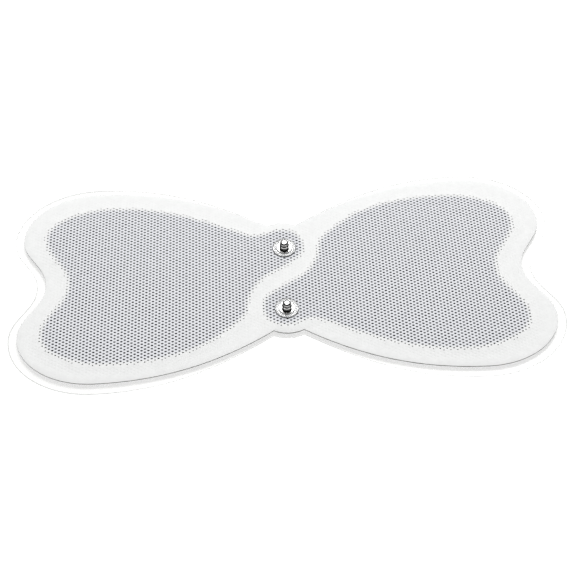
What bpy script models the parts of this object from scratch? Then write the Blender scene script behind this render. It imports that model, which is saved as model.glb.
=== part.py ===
"""Butterfly electrode pad for a TENS unit, with two snap studs, lying cloth side up on its release liner.

The pad is a stack of thin sheets. From the table upwards they are the clear release liner, two gel
pads, two conductive carbon films and the perforated cover cloth. Each wing is one electrode of its own:
its film ends in a tongue that carries a snap stud at the waist, and an S-shaped gap keeps the two wings
apart. A rivet goes up through film, cloth and a clear washer into each hollow stud, and a small patch
keeps the rivet's head off the gel.

Axes: +X along the pad, +Y across it, +Z up. The origin is the middle of the liner's underside.
"""

import math
from typing import NamedTuple

import bmesh
import bpy
from mathutils import Vector
from mathutils.geometry import interpolate_bezier

MM = 0.001

# Outline of the cover cloth, seen from above and the same in all four quarters
PAD_LENGTH = 215.6 * MM
PAD_WIDTH = 97.4 * MM
CREST_OUT = 77.0 * MM  # from the middle to the widest line of a wing
TIP_OFF_AXIS = 25.0 * MM  # from the long axis to the outermost point of a wing
NOTCH_DEPTH = 10.2 * MM  # hollow in each end, between the two lobes
EAR_RADIUS = 12.9 * MM  # rounded ear round each stud at the waist
EAR_HALF_WIDTH = 6.0 * MM  # where the flanks meet the ear
FLANK_ANGLE = math.radians(33)  # slope of the flank where it leaves the ear

# Carbon films
FILM_END_BORDER = 9.9 * MM  # cloth beyond the film at the ends
FILM_SIDE_BORDER = 8.5 * MM  # cloth beyond the film at the crests
FILM_CREST_OUT = 70.0 * MM
TONGUE_RADIUS = 9.1 * MM
THROAT_RADIUS = 15.3 * MM  # hollow edge of a wing, round the other wing's tongue
GAP_AT_MIDDLE = 7.8 * MM  # between the two films, across the middle of the S
GAP_SLANT = math.radians(25)
THROAT_TURN = math.radians(18)  # round part of the throat, below the other stud's level
TONGUE_START = math.radians(120)  # where the S edge meets the round of the tongue
TONGUE_END = math.radians(298)  # where the tongue runs out into the waist
FLANK_HEADING = math.radians(223)  # the way the flank runs where it turns into the throat
FILM_SHIFT = -0.8 * MM  # both films lie a little towards -X on the cloth

# Studs, along Y
STUD_SPACING = 31.4 * MM
STUD_SHIFT = -1.0 * MM  # the pair sits a little towards -Y
STUD_SKEW = 0.3 * MM  # the right wing's stud sits this far towards -X, and the left wing's towards +X

# Stack, bottom to top
LINER_THICKNESS = 0.2 * MM
GEL_THICKNESS = 1.1 * MM
FILM_THICKNESS = 0.2 * MM
CLOTH_THICKNESS = 0.4 * MM
LAYER_GAP = 0.1 * MM

# Margins of the sheets against the cloth's edge
LINER_MARGIN = 3.8 * MM
LINER_WAIST_MARGIN = 1.3 * MM
GEL_INSET = 0.7 * MM
GEL_BEYOND_FILM = 0.8 * MM  # gel past the film's edge, into the gap

# Windows in the cloth: a honeycomb of round holes over the films
WINDOW_PITCH = 9.9 * MM
WINDOW_DIAMETER = 5.0 * MM
WINDOW_MARGIN = 0.7 * MM  # film left round each window
WINDOW_OFF_WASHER = 0.8 * MM

# Washer, rivet, patch and stud
WASHER_DIAMETER = 9.8 * MM
WASHER_THICKNESS = 0.5 * MM
WASHER_RIM_ROUND = 0.3 * MM
WASHER_SEAT_DIAMETER = 6.6 * MM  # recess that centres the stud's flange
WASHER_SEAT_DEPTH = 0.15 * MM
RIVET_HEAD_DIAMETER = 7.0 * MM
RIVET_HEAD_THICKNESS = 0.2 * MM
RIVET_SHANK_DIAMETER = 2.0 * MM
RIVET_BORE = 1.2 * MM
RIVET_TOP_GAP = 0.3 * MM  # between the end of the shank and the inside of the stud
PATCH_DIAMETER = 8.4 * MM
PATCH_THICKNESS = 0.15 * MM
HARDWARE_GAP = 0.05 * MM  # between the pressed flat faces of washer, rivet, patch and stud
SHANK_CLEARANCE = 0.1 * MM  # all round the shank
POCKET_CLEARANCE = 0.3 * MM  # all round the patch, in the gel
STUD_FLANGE_DIAMETER = 6.2 * MM
STUD_FLANGE_THICKNESS = 0.25 * MM
STUD_NECK_DIAMETER = 3.2 * MM
STUD_NECK_FILLET = 0.1 * MM
STUD_BULGE_DIAMETER = 4.0 * MM
STUD_BULGE_LEVEL = 1.0 * MM  # from the flange's underside to the middle of the bulge
STUD_TOP_DIAMETER = 3.5 * MM
STUD_TOP_ROUND = 0.6 * MM
STUD_HEIGHT = 3.4 * MM
STUD_WALL = 0.3 * MM
STUD_BORE_ROUND = 0.5 * MM  # where the bore closes under the top

# How far the outline curves reach from their anchors, as shares of the spans that they cross
ROUND_REACH = 0.55  # a quarter round, of its radius
NOTCH_REACH = 0.42  # from notch to tip, of the tip's distance from the axis
CREST_REACH = 0.34  # from crest to ear, of the crest's distance from the middle
EAR_REACH = 1.25  # from ear to crest, of the rise between them
FILM_CREST_REACH = 0.27  # the same for the film, towards its throat
FILM_WAIST_REACH = 0.42  # the same for the film, towards its waist
TONGUE_REACH = 0.25  # beside the tongue, of its radius
THROAT_REACH = 0.5  # below the throat, of its radius

# Where the film's flank turns into its throat, and where its waist is, as shares of the film's crest
FLANK_FOOT = (0.12, 0.65)
WAIST_PLACE = (1.3, 0.55)

# Facets
OUTLINE_STEPS = 8
WINDOW_STEPS = 2
ROUND_SEGMENTS = 24
MERGE_DISTANCE = 0.001 * MM
SHARP_ANGLE = math.radians(40)

# Levels of the stack, worked out from the sheets
GEL_BOTTOM = LINER_THICKNESS + LAYER_GAP
GEL_TOP = GEL_BOTTOM + GEL_THICKNESS
FILM_BOTTOM = GEL_TOP + LAYER_GAP
CLOTH_BOTTOM = FILM_BOTTOM + FILM_THICKNESS + LAYER_GAP
CLOTH_TOP = CLOTH_BOTTOM + CLOTH_THICKNESS
WASHER_BOTTOM = CLOTH_TOP + HARDWARE_GAP
WASHER_SEAT = WASHER_BOTTOM + WASHER_THICKNESS - WASHER_SEAT_DEPTH
STUD_BOTTOM = WASHER_SEAT + HARDWARE_GAP
RIVET_HEAD_BOTTOM = FILM_BOTTOM - HARDWARE_GAP - RIVET_HEAD_THICKNESS
PATCH_BOTTOM = RIVET_HEAD_BOTTOM - HARDWARE_GAP - PATCH_THICKNESS
POCKET_FLOOR = PATCH_BOTTOM - LAYER_GAP
SHANK_HOLE_RADIUS = RIVET_SHANK_DIAMETER / 2 + SHANK_CLEARANCE

# The right wing's stud is the one towards -Y, and the left wing's the one towards +Y
WINGS = {"right": -1, "left": 1}


def stud_place(side):
    """Where the stud of this wing stands, in plan."""
    return Vector((side * STUD_SKEW, side * STUD_SPACING / 2 + STUD_SHIFT))


class Anchor(NamedTuple):
    """One point of an outline, with the handles of the curves that come in and go out."""

    point: Vector
    handle_in: Vector
    handle_out: Vector


def anchor(x, y, heading, before, after):
    """An anchor with a smooth heading, in radians, and the reach of the curves before and after it."""
    point = Vector((x, y))
    along = Vector((math.cos(heading), math.sin(heading)))
    return Anchor(point, point - before * along, point + after * along)


def corner(x, y):
    """An anchor with straight edges on both sides."""
    point = Vector((x, y))
    return Anchor(point, point, point)


def arc(centre, radius, start, stop, first_reach=None, last_reach=None):
    """Anchors along a round stretch from angle start to angle stop, no more than a quarter turn apart."""
    turn = stop - start
    pieces = max(1, math.ceil(abs(turn) / (math.pi / 2) - 1e-6))
    step = turn / pieces
    reach = 4 / 3 * math.tan(abs(step) / 4) * radius
    anchors = []
    for i in range(pieces + 1):
        angle = start + i * step
        before = first_reach if i == 0 and first_reach is not None else reach
        after = last_reach if i == pieces and last_reach is not None else reach
        x = centre[0] + radius * math.cos(angle)
        y = centre[1] + radius * math.sin(angle)
        anchors.append(anchor(x, y, angle + math.copysign(math.pi / 2, turn), before, after))
    return anchors


def circle(centre, radius):
    """A closed round outline."""
    return arc(centre, radius, 0.0, math.tau)[:-1]


def mapped(anchors, rule):
    """The same outline with each of its points moved by a rule."""
    return [Anchor(*(rule(point) for point in item)) for item in anchors]


def half_turned(anchors):
    """The same outline turned half way round the origin."""
    return mapped(anchors, lambda point: -point)


def mirrored(anchors):
    """The same outline mirrored left to right and run backwards, so that it still turns the same way."""
    flipped = mapped(anchors, lambda point: Vector((-point.x, point.y)))
    return [Anchor(item.point, item.handle_out, item.handle_in) for item in reversed(flipped)]


def on_wing(anchors, side):
    """An outline drawn for the right wing, laid on the wing of this side."""
    drawn = anchors if side == WINGS["right"] else half_turned(anchors)
    return mapped(drawn, lambda point: point + Vector((FILM_SHIFT, 0.0)))


def points_of(anchors, steps=OUTLINE_STEPS):
    """The outline as a list of points."""
    points = []
    for item, following in zip(anchors, anchors[1:] + anchors[:1]):
        run = interpolate_bezier(
            item.point, item.handle_out, following.handle_in, following.point, steps + 1
        )
        points.extend(run[:-1])
    return points


def butterfly(margin, waist_margin):
    """The pad's outline, grown by a margin, anticlockwise from the notch in the +X end."""
    half_length = PAD_LENGTH / 2 + margin
    half_width = PAD_WIDTH / 2 + margin
    notch_out = half_length - NOTCH_DEPTH
    lobe_out = half_length - CREST_OUT
    lobe_height = half_width - TIP_OFF_AXIS
    notch_reach = NOTCH_REACH * TIP_OFF_AXIS

    ear_radius = EAR_RADIUS + waist_margin
    ear_start = math.acos(EAR_HALF_WIDTH / ear_radius)
    ear = arc((0.0, STUD_SPACING / 2), ear_radius, ear_start, math.pi / 2)
    foot = ear[0].point
    up_the_flank = Vector((math.cos(FLANK_ANGLE), math.sin(FLANK_ANGLE)))
    flank_reach = EAR_REACH * (half_width - foot.y)

    quarter = [
        anchor(half_length, TIP_OFF_AXIS, math.pi / 2, notch_reach, ROUND_REACH * lobe_height),
        anchor(CREST_OUT, half_width, math.pi, ROUND_REACH * lobe_out, CREST_REACH * CREST_OUT),
        Anchor(foot, foot + flank_reach * up_the_flank, ear[0].handle_out),
    ]
    half = [anchor(notch_out, 0.0, math.pi / 2, notch_reach, notch_reach)]
    half += quarter + ear[1:] + mirrored(quarter)
    return half + half_turned(half)


def s_edge(beyond):
    """The right wing's edge along the S-shaped gap, grown into the gap, from throat to tongue."""
    tongue = (0.0, -STUD_SPACING / 2)
    other_tongue = (0.0, STUD_SPACING / 2)
    below_throat = THROAT_REACH * THROAT_RADIUS
    above_tongue = TONGUE_REACH * TONGUE_RADIUS
    from_middle = GAP_AT_MIDDLE / 2 - beyond
    middle = (from_middle * math.sin(GAP_SLANT), -from_middle * math.cos(GAP_SLANT))

    throat = arc(other_tongue, THROAT_RADIUS - beyond, 0.0, -THROAT_TURN, last_reach=below_throat)
    crossing = anchor(*middle, math.pi + GAP_SLANT, below_throat, above_tongue)
    round_end = arc(tongue, TONGUE_RADIUS + beyond, TONGUE_START, math.pi, first_reach=above_tongue)
    return [*throat, crossing, *round_end]


def film_outline():
    """The right film, anticlockwise from the notch: lobe, flank, S edge, tongue, waist and second lobe."""
    end = PAD_LENGTH / 2 - FILM_END_BORDER
    crest = PAD_WIDTH / 2 - FILM_SIDE_BORDER
    lobe_out = end - FILM_CREST_OUT
    lobe_height = crest - TIP_OFF_AXIS
    notch_reach = NOTCH_REACH * TIP_OFF_AXIS
    tongue = (0.0, -STUD_SPACING / 2)
    beside_tongue = TONGUE_REACH * TONGUE_RADIUS
    foot = (THROAT_RADIUS + FLANK_FOOT[0] * FILM_CREST_OUT, FLANK_FOOT[1] * crest)
    waist = (WAIST_PLACE[0] * TONGUE_RADIUS, -WAIST_PLACE[1] * crest)

    edge = s_edge(0.0)
    above_throat = Vector((0.0, TONGUE_REACH * THROAT_RADIUS))
    edge[0] = Anchor(edge[0].point, edge[0].point + above_throat, edge[0].handle_out)
    round_end = arc(tongue, TONGUE_RADIUS, math.pi, TONGUE_END, last_reach=beside_tongue)
    return [
        anchor(end - NOTCH_DEPTH, 0.0, math.pi / 2, notch_reach, notch_reach),
        anchor(end, TIP_OFF_AXIS, math.pi / 2, notch_reach, ROUND_REACH * lobe_height),
        anchor(FILM_CREST_OUT, crest, math.pi, ROUND_REACH * lobe_out, FILM_CREST_REACH * FILM_CREST_OUT),
        anchor(*foot, FLANK_HEADING, 0.8 * FILM_CREST_REACH * FILM_CREST_OUT, beside_tongue),
        *edge[:-1],
        *round_end,
        anchor(*waist, 0.0, beside_tongue, 2 * beside_tongue),
        anchor(FILM_CREST_OUT, -crest, 0.0, FILM_WAIST_REACH * FILM_CREST_OUT, ROUND_REACH * lobe_out),
        anchor(end, -TIP_OFF_AXIS, math.pi / 2, ROUND_REACH * lobe_height, notch_reach),
    ]


def material(name, colour, roughness, metallic=0.0, alpha=1.0):
    """A plain Principled BSDF material."""
    made = bpy.data.materials.new(name)
    made.use_nodes = True
    shader = made.node_tree.nodes["Principled BSDF"]
    shader.inputs["Base Color"].default_value = (*colour, 1.0)
    shader.inputs["Roughness"].default_value = roughness
    shader.inputs["Metallic"].default_value = metallic
    shader.inputs["Alpha"].default_value = alpha
    made.diffuse_color = (*colour, alpha)
    return made


def add_spline(curve, anchors, steps):
    """Adds one closed outline to a curve."""
    spline = curve.splines.new("BEZIER")
    spline.bezier_points.add(len(anchors) - 1)
    for knot, item in zip(spline.bezier_points, anchors):
        knot.handle_left_type = "FREE"
        knot.handle_right_type = "FREE"
        knot.co = (*item.point, 0.0)
        knot.handle_left = (*item.handle_in, 0.0)
        knot.handle_right = (*item.handle_out, 0.0)
    spline.use_cyclic_u = True
    spline.resolution_u = steps


def sheet(name, outline, holes, bottom, thickness, finish):
    """A flat sheet with holes, each an outline and its steps: a filled curve extruded to its thickness."""
    curve = bpy.data.curves.new(name, "CURVE")
    curve.dimensions = "2D"
    curve.fill_mode = "BOTH"
    curve.extrude = thickness / 2
    curve.resolution_u = OUTLINE_STEPS
    curve.render_resolution_u = 0
    add_spline(curve, outline, OUTLINE_STEPS)
    for hole, steps in holes:
        add_spline(curve, hole, steps)
    made = bpy.data.objects.new(name, curve)
    made.location.z = bottom + thickness / 2
    curve.materials.append(finish)
    bpy.context.scene.collection.objects.link(made)
    return made


def slab(name, outline, bottom, thickness):
    """A solid cut to an outline, as a mesh that a Boolean can cut."""
    bm = bmesh.new()
    ring = [bm.verts.new((point.x, point.y, bottom)) for point in outline]
    face = bm.faces.new(ring)
    lifted = bmesh.ops.extrude_face_region(bm, geom=[face])
    top = [item for item in lifted["geom"] if isinstance(item, bmesh.types.BMVert)]
    bmesh.ops.translate(bm, verts=top, vec=(0.0, 0.0, thickness))
    bmesh.ops.recalc_face_normals(bm, faces=bm.faces)
    mesh = bpy.data.meshes.new(name)
    bm.to_mesh(mesh)
    bm.free()
    made = bpy.data.objects.new(name, mesh)
    bpy.context.scene.collection.objects.link(made)
    return made


def cut(target, cutter):
    """Takes one solid away from another, and keeps the cutter out of the render."""
    cutter.hide_render = True
    cutter.display_type = "WIRE"
    boolean = target.modifiers.new("cut_" + cutter.name, "BOOLEAN")
    boolean.operation = "DIFFERENCE"
    boolean.solver = "EXACT"
    boolean.object = cutter


def revolve(name, profile, place, finish):
    """A turned piece: its profile of (radius, height) points runs down the outside and up the inside."""
    bm = bmesh.new()
    knots = [bm.verts.new((radius, 0.0, height)) for radius, height in profile]
    closed = knots + knots[:1]
    edges = []
    for first, second in zip(closed, closed[1:]):
        if first.co.x > 0 or second.co.x > 0:
            edges.append(bm.edges.new((first, second)))
    bmesh.ops.spin(
        bm,
        geom=knots + edges,
        cent=(0.0, 0.0, 0.0),
        axis=(0.0, 0.0, 1.0),
        angle=math.tau,
        steps=ROUND_SEGMENTS,
    )
    bmesh.ops.remove_doubles(bm, verts=bm.verts, dist=MERGE_DISTANCE)
    bmesh.ops.recalc_face_normals(bm, faces=bm.faces)
    mesh = bpy.data.meshes.new(name)
    bm.to_mesh(mesh)
    bm.free()
    mesh.shade_smooth()
    mesh.set_sharp_from_angle(angle=SHARP_ANGLE)
    mesh.materials.append(finish)
    made = bpy.data.objects.new(name, mesh)
    made.location = (place.x, place.y, 0.0)
    bpy.context.scene.collection.objects.link(made)
    return made


def rounding(radius_out, height, radius, start, stop, pieces):
    """Points of a round stretch of a turned profile, by angle in degrees from the outward direction."""
    points = []
    for i in range(pieces + 1):
        angle = math.radians(start + (stop - start) * i / pieces)
        points.append((radius_out + radius * math.cos(angle), height + radius * math.sin(angle)))
    return points


def stud_profile():
    """Section of the hollow stud: domed top, bulge that the lead's socket grips, neck, flange and bore."""
    top = STUD_BOTTOM + STUD_HEIGHT
    crown = STUD_TOP_DIAMETER / 2
    neck = STUD_NECK_DIAMETER / 2
    bulge_round = (STUD_BULGE_DIAMETER - STUD_NECK_DIAMETER) / 2
    bulge_level = STUD_BOTTOM + STUD_BULGE_LEVEL
    flange_top = STUD_BOTTOM + STUD_FLANGE_THICKNESS
    flange_round = STUD_FLANGE_THICKNESS / 2
    flange_out = STUD_FLANGE_DIAMETER / 2 - flange_round
    bore = neck - STUD_WALL
    bore_top = top - STUD_WALL
    return [
        (0.0, top),
        *rounding(crown - STUD_TOP_ROUND, top - STUD_TOP_ROUND, STUD_TOP_ROUND, 80, 0, 5),
        (crown, bulge_level + bulge_round),
        *rounding(neck, bulge_level, bulge_round, 60, -75, 6),
        (neck, flange_top + STUD_NECK_FILLET),
        (neck + STUD_NECK_FILLET, flange_top),
        *rounding(flange_out, STUD_BOTTOM + flange_round, flange_round, 90, -90, 4),
        (bore, STUD_BOTTOM),
        *rounding(bore - STUD_BORE_ROUND, bore_top - STUD_BORE_ROUND, STUD_BORE_ROUND, 0, 80, 3),
        (0.0, bore_top),
    ]


def washer_profile():
    """Section of the clear washer: a ring with a rounded rim and a shallow seat for the flange."""
    radius = WASHER_DIAMETER / 2
    seat = WASHER_SEAT_DIAMETER / 2
    top = WASHER_BOTTOM + WASHER_THICKNESS
    return [
        (SHANK_HOLE_RADIUS, WASHER_BOTTOM),
        (SHANK_HOLE_RADIUS, WASHER_SEAT),
        (seat, WASHER_SEAT),
        (seat, top),
        *rounding(radius - WASHER_RIM_ROUND, top - WASHER_RIM_ROUND, WASHER_RIM_ROUND, 90, 0, 4),
        (radius, WASHER_BOTTOM),
    ]


def rivet_profile():
    """Section of the rivet: a flat head under the film and a tubular shank up into the stud."""
    shank = RIVET_SHANK_DIAMETER / 2
    bore = RIVET_BORE / 2
    head = RIVET_HEAD_DIAMETER / 2
    head_top = RIVET_HEAD_BOTTOM + RIVET_HEAD_THICKNESS
    shank_top = STUD_BOTTOM + STUD_HEIGHT - STUD_WALL - STUD_BORE_ROUND - RIVET_TOP_GAP
    return [
        (bore, RIVET_HEAD_BOTTOM),
        (bore, shank_top),
        (shank, shank_top),
        (shank, head_top),
        (head, head_top),
        (head, RIVET_HEAD_BOTTOM),
    ]


def inside_by(point, outline):
    """How far a point lies inside an outline, or a negative distance if it is outside."""
    inside = False
    nearest = math.inf
    for first, second in zip(outline, outline[1:] + outline[:1]):
        along = second - first
        share = max(0.0, min(1.0, (point - first).dot(along) / along.length_squared))
        nearest = min(nearest, (point - first - share * along).length)
        if (first.y > point.y) != (second.y > point.y):
            if point.x < first.x + (point.y - first.y) / along.y * along.x:
                inside = not inside
    return nearest if inside else -nearest


def window_places(outlines):
    """Middles of the windows: a honeycomb, neighbours along Y, kept over film and off the washers."""
    places = []
    column_step = WINDOW_PITCH * math.sqrt(3) / 2
    columns = math.ceil(PAD_LENGTH / 2 / column_step)
    rows = math.ceil(PAD_WIDTH / 2 / WINDOW_PITCH)
    clear_of_washer = WASHER_DIAMETER / 2 + WINDOW_DIAMETER / 2 + WINDOW_OFF_WASHER
    clear_of_edge = WINDOW_DIAMETER / 2 + WINDOW_MARGIN
    for column in range(-columns, columns + 1):
        stagger = WINDOW_PITCH / 2 if column % 2 else 0.0
        for row in range(-rows, rows + 1):
            place = Vector((column * column_step, row * WINDOW_PITCH + stagger))
            over_film = any(inside_by(place, outline) >= clear_of_edge for outline in outlines)
            off_studs = all(
                (place - stud_place(side)).length >= clear_of_washer for side in WINGS.values()
            )
            if over_film and off_studs:
                places.append(place)
    return places


def add_liner():
    """Clear film that covers the sticky side until use, cut a little larger than the pad."""
    finish = material("clear_liner", (0.92, 0.93, 0.90), 0.15, alpha=0.5)
    sheet("release_liner", butterfly(LINER_MARGIN, LINER_WAIST_MARGIN), [], 0.0, LINER_THICKNESS, finish)


def add_gel(wing, side):
    """Sticky conductive gel under one wing, cut along the S, with a pocket for the patch."""
    finish = material("gel_" + wing, (0.80, 0.80, 0.74), 0.25, alpha=0.8)
    gel = slab("gel_" + wing, points_of(butterfly(-GEL_INSET, -GEL_INSET)), GEL_BOTTOM, GEL_THICKNESS)
    gel.data.materials.append(finish)

    outside = PAD_LENGTH
    edge = s_edge(GEL_BEYOND_FILM)
    first = edge[0].point
    last = edge[-1].point
    edge[0] = Anchor(first, first, edge[0].handle_out)
    edge[-1] = Anchor(last, edge[-1].handle_in, last)
    split = [corner(first.x, outside), *edge, corner(last.x, -outside)]
    split += [corner(-outside, -outside), corner(-outside, outside)]
    past = GEL_THICKNESS
    splitter = slab(
        "splitter_" + wing, points_of(on_wing(split, side)), GEL_BOTTOM - past, GEL_THICKNESS + 2 * past
    )
    cut(gel, splitter)

    pocket_outline = circle(stud_place(side), PATCH_DIAMETER / 2 + POCKET_CLEARANCE)
    pocket = slab(
        "pocket_" + wing,
        points_of(pocket_outline, ROUND_SEGMENTS // 4),
        POCKET_FLOOR,
        GEL_TOP - POCKET_FLOOR + past,
    )
    cut(gel, pocket)


def add_film(wing, side):
    """Black conductive film of one wing, with the hole for its rivet. Gives back its outline."""
    finish = material("carbon_" + wing, (0.02, 0.02, 0.022), 0.5)
    outline = on_wing(film_outline(), side)
    hole = circle(stud_place(side), SHANK_HOLE_RADIUS)
    sheet("carbon_film_" + wing, outline, [(hole, ROUND_SEGMENTS // 4)], FILM_BOTTOM, FILM_THICKNESS, finish)
    return points_of(outline)


def add_cloth(films):
    """White cover cloth over the whole pad: windows over the films, and a hole for each rivet."""
    finish = material("white_cloth", (0.90, 0.90, 0.90), 0.9)
    holes = [(circle(stud_place(side), SHANK_HOLE_RADIUS), ROUND_SEGMENTS // 4) for side in WINGS.values()]
    for place in window_places(films):
        holes.append((circle(place, WINDOW_DIAMETER / 2), WINDOW_STEPS))
    sheet("cover_cloth", butterfly(0.0, 0.0), holes, CLOTH_BOTTOM, CLOTH_THICKNESS, finish)


def add_hardware(wing, side):
    """Washer, stud, rivet and patch of one wing."""
    place = stud_place(side)
    clear = material("clear_washer_" + wing, (0.90, 0.91, 0.92), 0.2, alpha=0.6)
    nickel = material("nickel_" + wing, (0.75, 0.74, 0.72), 0.15, metallic=1.0)
    white = material("white_patch_" + wing, (0.90, 0.90, 0.88), 0.6)
    revolve("washer_" + wing, washer_profile(), place, clear)
    revolve("stud_" + wing, stud_profile(), place, nickel)
    revolve("rivet_" + wing, rivet_profile(), place, nickel)
    patch = circle(place, PATCH_DIAMETER / 2)
    sheet("rivet_patch_" + wing, patch, [], PATCH_BOTTOM, PATCH_THICKNESS, white)


for leftover in list(bpy.data.objects):
    bpy.data.objects.remove(leftover, do_unlink=True)

add_liner()
film_outlines = []
for wing_name, wing_side in WINGS.items():
    add_gel(wing_name, wing_side)
    film_outlines.append(add_film(wing_name, wing_side))
    add_hardware(wing_name, wing_side)
add_cloth(film_outlines)
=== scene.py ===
"""Looks of a butterfly electrode pad for a TENS unit, lying cloth side up on its clear release liner.

The pad is dressed from the table upwards: liner, gel pads, conductive films, perforated cover cloth,
washers, rivets with their patches, and snap studs. The table, the light and the camera come last.
"""

import math

import bmesh
import bpy
import numpy as np
from mathutils import Matrix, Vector
from mathutils.geometry import delaunay_2d_cdt


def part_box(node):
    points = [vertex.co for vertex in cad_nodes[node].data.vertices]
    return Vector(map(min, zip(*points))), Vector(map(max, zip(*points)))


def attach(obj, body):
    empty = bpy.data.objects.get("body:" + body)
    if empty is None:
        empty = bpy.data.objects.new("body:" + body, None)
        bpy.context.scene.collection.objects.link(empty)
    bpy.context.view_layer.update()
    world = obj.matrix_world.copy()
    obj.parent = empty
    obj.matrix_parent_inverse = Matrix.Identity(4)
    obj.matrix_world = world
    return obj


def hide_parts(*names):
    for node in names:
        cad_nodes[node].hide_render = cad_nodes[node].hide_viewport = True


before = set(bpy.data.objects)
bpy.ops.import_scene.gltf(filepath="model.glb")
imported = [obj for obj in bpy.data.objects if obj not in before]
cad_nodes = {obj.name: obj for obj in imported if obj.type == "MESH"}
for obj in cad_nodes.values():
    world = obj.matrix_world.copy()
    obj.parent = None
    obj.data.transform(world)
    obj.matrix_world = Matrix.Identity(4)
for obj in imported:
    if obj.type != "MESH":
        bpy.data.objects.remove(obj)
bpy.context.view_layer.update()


# Release liner: a clear plastic film that covers the sticky side until the pad is used. It is die-cut to the
# pad's own outline with a few millimetres to spare, and its free margin lifts a little off the table.
MM = 0.001
liner_low, liner_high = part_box("release_liner")
cloth_low, cloth_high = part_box("cover_cloth")
PAD_LENGTH = cloth_high.x - cloth_low.x
PAD_WIDTH = cloth_high.y - cloth_low.y
CREST_OUT = 77.0 * MM  # from the middle to the widest line of a wing
TIP_OFF_AXIS = 25.0 * MM  # from the long axis to the outermost point of a wing
NOTCH_DEPTH = 10.2 * MM  # hollow in each end
EAR_CENTRE = 15.7 * MM  # rounded ear at the waist, from the long axis
EAR_RADIUS = 12.9 * MM
EAR_HALF_WIDTH = 6.0 * MM
FLANK_ANGLE = math.radians(33)
ROUND_REACH = 0.55  # reaches of the outline's curves, as shares of the spans that they cross
NOTCH_REACH = 0.42
CREST_REACH = 0.34
EAR_REACH = 1.25
OUTLINE_STEPS = 24
LINER_MARGIN = liner_high.x - cloth_high.x
LINER_WAIST_MARGIN = 1.3 * MM
LINER_RINGS = np.array((0.0, 0.25, 0.5, 0.75, 0.86, 1.0))  # rings of points, as shares of the margin
LINER_LIFT = 0.25 * MM  # most that the free margin rises
LINER_LIFT_MEAN, LINER_LIFT_SWING = 0.55, 0.45  # shares of that
LINER_WAVES = 5  # rises and falls round the margin
LINER_UNEVEN, LINER_UNEVEN_WAVES = 0.6, 3  # how far, and how often, they are pushed out of step
LINER_ROUND = 0.03 * MM
LINER_SHARP = math.radians(40)
LINER_COLOUR = (0.93, 0.93, 0.885)
# The film's cut edge is painted grey and less clear, as a painted shade line along it.
LINER_EDGE_SHADE_COLOUR = (0.56, 0.58, 0.56)
LINER_ALPHA = 0.15
LINER_EDGE_SHADE_ALPHA = 0.6
LINER_SCUFF = 1.2 * MM


def smooth_anchor(x, y, heading, before, after):
    """An outline's anchor with a smooth heading, and the reach of the curves before and after it."""
    point = np.array((x, y))
    along = np.array((math.cos(heading), math.sin(heading)))
    return np.stack((point, point - before * along, point + after * along))


def curve_points(anchors):
    """Points of a closed outline. From anchor P to the next one, Q, runs a cubic Bezier curve over their
    handles: (1-t)^3 P + 3 (1-t)^2 t H + 3 (1-t) t^2 K + t^3 Q, for all anchors and steps at once."""
    here = np.asarray(anchors)[:, None]
    there = np.roll(here, -1, axis=0)
    t = np.arange(OUTLINE_STEPS)[None, :, None] / OUTLINE_STEPS
    back = 1 - t
    points = back**3 * here[:, :, 0] + 3 * back**2 * t * here[:, :, 2]
    points += 3 * back * t**2 * there[:, :, 1] + t**3 * there[:, :, 0]
    return points.reshape(-1, 2)


def butterfly(margin, waist_margin):
    """The pad's outline grown by a margin, anticlockwise from the notch in the +X end. One quarter is drawn,
    and the others are its mirror image and its half turn."""
    half_length = PAD_LENGTH / 2 + margin
    half_width = PAD_WIDTH / 2 + margin
    notch_reach = NOTCH_REACH * TIP_OFF_AXIS
    into_crest = ROUND_REACH * (half_length - CREST_OUT)
    out_of_tip = ROUND_REACH * (half_width - TIP_OFF_AXIS)
    radius = EAR_RADIUS + waist_margin
    start = math.acos(EAR_HALF_WIDTH / radius)
    ear_reach = 4 / 3 * math.tan((math.pi / 2 - start) / 4) * radius
    foot = smooth_anchor(
        EAR_HALF_WIDTH, EAR_CENTRE + radius * math.sin(start), start + math.pi / 2, 0.0, ear_reach
    )
    up_the_flank = np.array((math.cos(FLANK_ANGLE), math.sin(FLANK_ANGLE)))
    foot[1] = foot[0] + EAR_REACH * (half_width - foot[0, 1]) * up_the_flank
    quarter = np.stack(
        (
            smooth_anchor(half_length, TIP_OFF_AXIS, math.pi / 2, notch_reach, out_of_tip),
            smooth_anchor(CREST_OUT, half_width, math.pi, into_crest, CREST_REACH * CREST_OUT),
            foot,
        )
    )
    notch = smooth_anchor(half_length - NOTCH_DEPTH, 0.0, math.pi / 2, notch_reach, notch_reach)
    ear_top = smooth_anchor(0.0, EAR_CENTRE + radius, math.pi, ear_reach, ear_reach)
    other_quarter = quarter[::-1, [0, 2, 1]] * np.array((-1.0, 1.0))
    half = np.concatenate((notch[None], quarter, ear_top[None], other_quarter))
    return curve_points(np.concatenate((half, -half)))


def joined_rings(rings, first, around):
    """Four-sided faces between neighbouring rings of points, numbered from first, with around points each.
    They face away from the piece where the rings run anticlockwise from the top face down the outside."""
    row = first + np.arange(rings - 1)[:, None] * around
    here = np.arange(around)[None, :]
    there = np.roll(here, -1, axis=1)
    quads = (row + here, row + around + here, row + around + there, row + there)
    return np.stack(quads, axis=2).reshape(-1, 4)


def mesh_of(name, points, faces):
    """A mesh from an array of points and lists of faces, with smooth shading."""
    mesh = bpy.data.meshes.new(name)
    mesh.from_pydata(points.tolist(), [], faces)
    mesh.validate()
    mesh.shade_smooth()
    return mesh


def give_mask(mesh, name, values):
    """Writes one number for each vertex, which the materials read by its name."""
    mask = mesh.attributes.new(name, "FLOAT", "POINT")
    mask.data.foreach_set("value", np.asarray(values, np.float32))


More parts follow.
